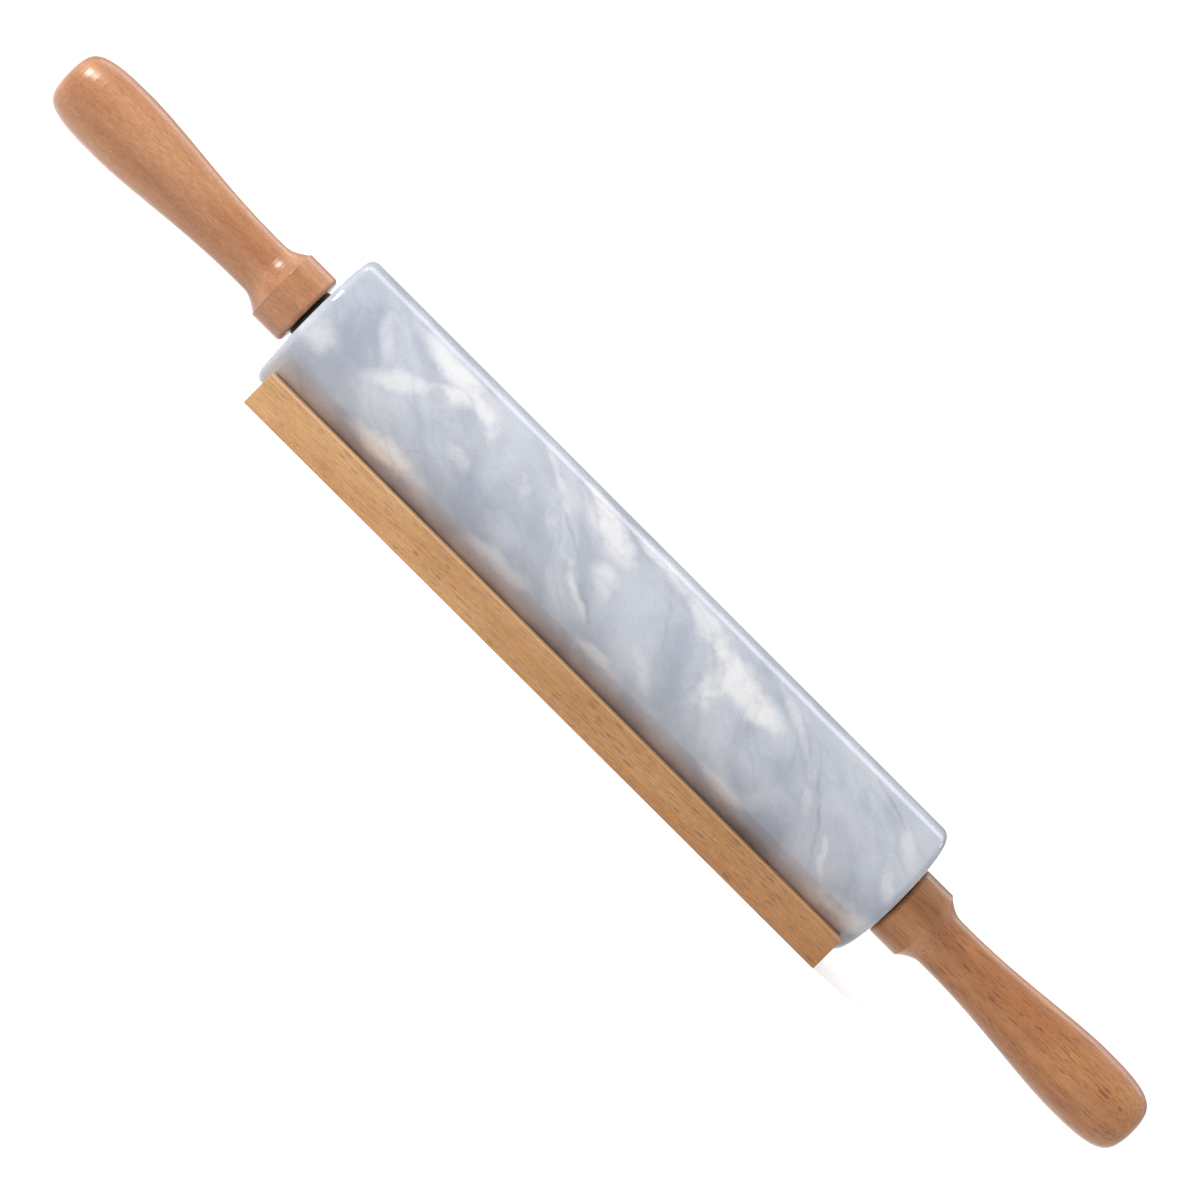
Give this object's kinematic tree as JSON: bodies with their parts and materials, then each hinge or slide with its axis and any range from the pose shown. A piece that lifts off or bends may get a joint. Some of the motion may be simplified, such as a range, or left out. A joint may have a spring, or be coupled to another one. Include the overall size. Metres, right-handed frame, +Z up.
{
  "type": "marble rolling pin",
  "caption": "Marble rolling pin: a polished marble barrel that turns on a steel rod between turned beech handles, lying in a low beech cradle.",
  "frame": {"origin": "on the table, under the middle of the barrel, at the middle of the cradle's underside", "axes": "+X along the pin to the right handle, +Y from the near rail to the far rail, +Z up"},
  "size_m": [0.458, 0.054, 0.0565],
  "materials": {
    "marble": "polished white marble with pale grey clouds and veins",
    "handle_beech": "turned beech, glossy lacquer",
    "cradle_beech": "planed beech, satin",
    "nylon": "moulded black nylon, matte",
    "rod_steel": "drawn steel",
    "fastener_steel": "zinc plated steel",
    "insert_brass": "turned brass"
  },
  "bodies": {
    "cradle": {"near_rail": "cradle_beech", "far_rail": "cradle_beech", "left_crossbar": "cradle_beech", "right_crossbar": "cradle_beech", "cradle_screws": "fastener_steel"},
    "rod_and_handles": {"axle_rod": "rod_steel", "left_handle": "handle_beech", "right_handle": "handle_beech", "left_insert": "insert_brass", "right_insert": "insert_brass", "end_washers": "fastener_steel", "lock_nuts": "fastener_steel"},
    "barrel": {"marble_barrel": "marble", "left_bush": "nylon", "right_bush": "nylon"}
  },
  "joints": [
    {"name": "pin_lift", "type": "slide", "parent": "cradle", "child": "rod_and_handles", "axis": [0, 0, 1], "range_m": [0, 0.12]},
    {"name": "barrel_spin", "type": "hinge", "parent": "rod_and_handles", "child": "barrel", "pos_m": [0, 0, 0.031], "axis": [1, 0, 0], "continuous": true}
  ]
}
